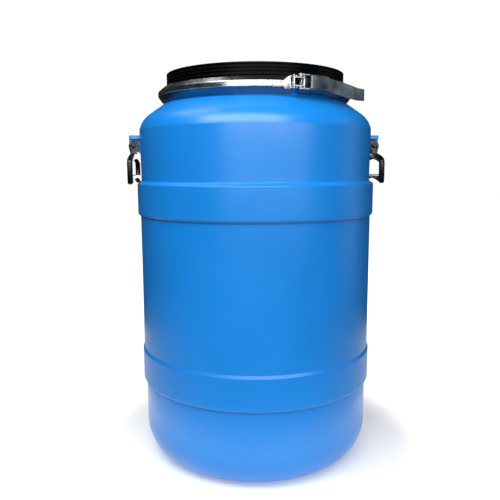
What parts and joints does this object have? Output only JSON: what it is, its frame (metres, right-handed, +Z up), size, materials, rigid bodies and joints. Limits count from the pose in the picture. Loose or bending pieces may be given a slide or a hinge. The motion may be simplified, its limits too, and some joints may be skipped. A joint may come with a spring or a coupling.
{
  "type": "plastic open head drum",
  "caption": "Round plastic open-head drum with rolling hoops, a clamped lid, a lever-lock steel ring and side drop handles.",
  "frame": {"origin": "middle of the drum's base, on the floor", "axes": "+Z up along the drum's axis, -Y the front with the latch, +X and -X the two handles"},
  "size_m": [0.415, 0.3902, 0.6293],
  "materials": {
    "body_plastic": "satin blow-moulded blue polyethylene with a fine grain",
    "lid_plastic": "satin injection-moulded black polyethylene",
    "gasket_foam": "closed-cell foam rubber",
    "ring_steel": "galvanised sheet steel, lightly scuffed",
    "lever_steel": "galvanised sheet steel, lightly scuffed",
    "bracket_steel": "galvanised pressed steel",
    "pin_steel": "zinc-plated steel wire",
    "handle_plastic": "glossy black polyethylene",
    "handle_pin_plastic": "glossy black plastic"
  },
  "bodies": {
    "drum": {"drum_body": "body_plastic", "handle_pin_left": "handle_pin_plastic", "handle_pin_right": "handle_pin_plastic"},
    "lid": {"lid": "lid_plastic", "gasket": "gasket_foam"},
    "ring": {"locking_ring": "ring_steel", "lever_bracket": "bracket_steel", "catch_bracket": "bracket_steel", "lever_rivets": "pin_steel"},
    "lever": {"lever": "lever_steel", "link_pin": "pin_steel"},
    "link": {"link_plates": "bracket_steel", "catch_pin": "pin_steel"},
    "handle_left": {"handle_left": "handle_plastic"},
    "handle_right": {"handle_right": "handle_plastic"}
  },
  "joints": [
    {"name": "lid_lift", "type": "slide", "parent": "drum", "child": "lid", "axis": [0, 0, 1], "range_m": [0, 0.25]},
    {"name": "ring_lift", "type": "slide", "parent": "lid", "child": "ring", "axis": [0, 0, 1], "range_m": [0, 0.1], "deforming": ["locking_ring"]},
    {"name": "lever_open", "type": "hinge", "parent": "ring", "child": "lever", "pos_m": [0.05158, -0.15547, 0.5999], "axis": [0, 0, -1], "range_deg": [0, 130]},
    {"name": "link_swing", "type": "hinge", "parent": "lever", "child": "link", "pos_m": [0.05704, -0.15291, 0.5999], "axis": [0, 0, -1], "range_deg": [-123.5, 0]},
    {"name": "handle_left_swing", "type": "hinge", "parent": "drum", "child": "handle_left", "pos_m": [-0.1995, 0, 0.517], "axis": [0, 1, 0], "range_deg": [0, 115]},
    {"name": "handle_right_swing", "type": "hinge", "parent": "drum", "child": "handle_right", "pos_m": [0.1995, 0, 0.517], "axis": [0, -1, 0], "range_deg": [0, 115]}
  ],
  "couplings": [
    {"joint": "link_swing", "follows": "lever_open", "ratio": -0.95}
  ]
}
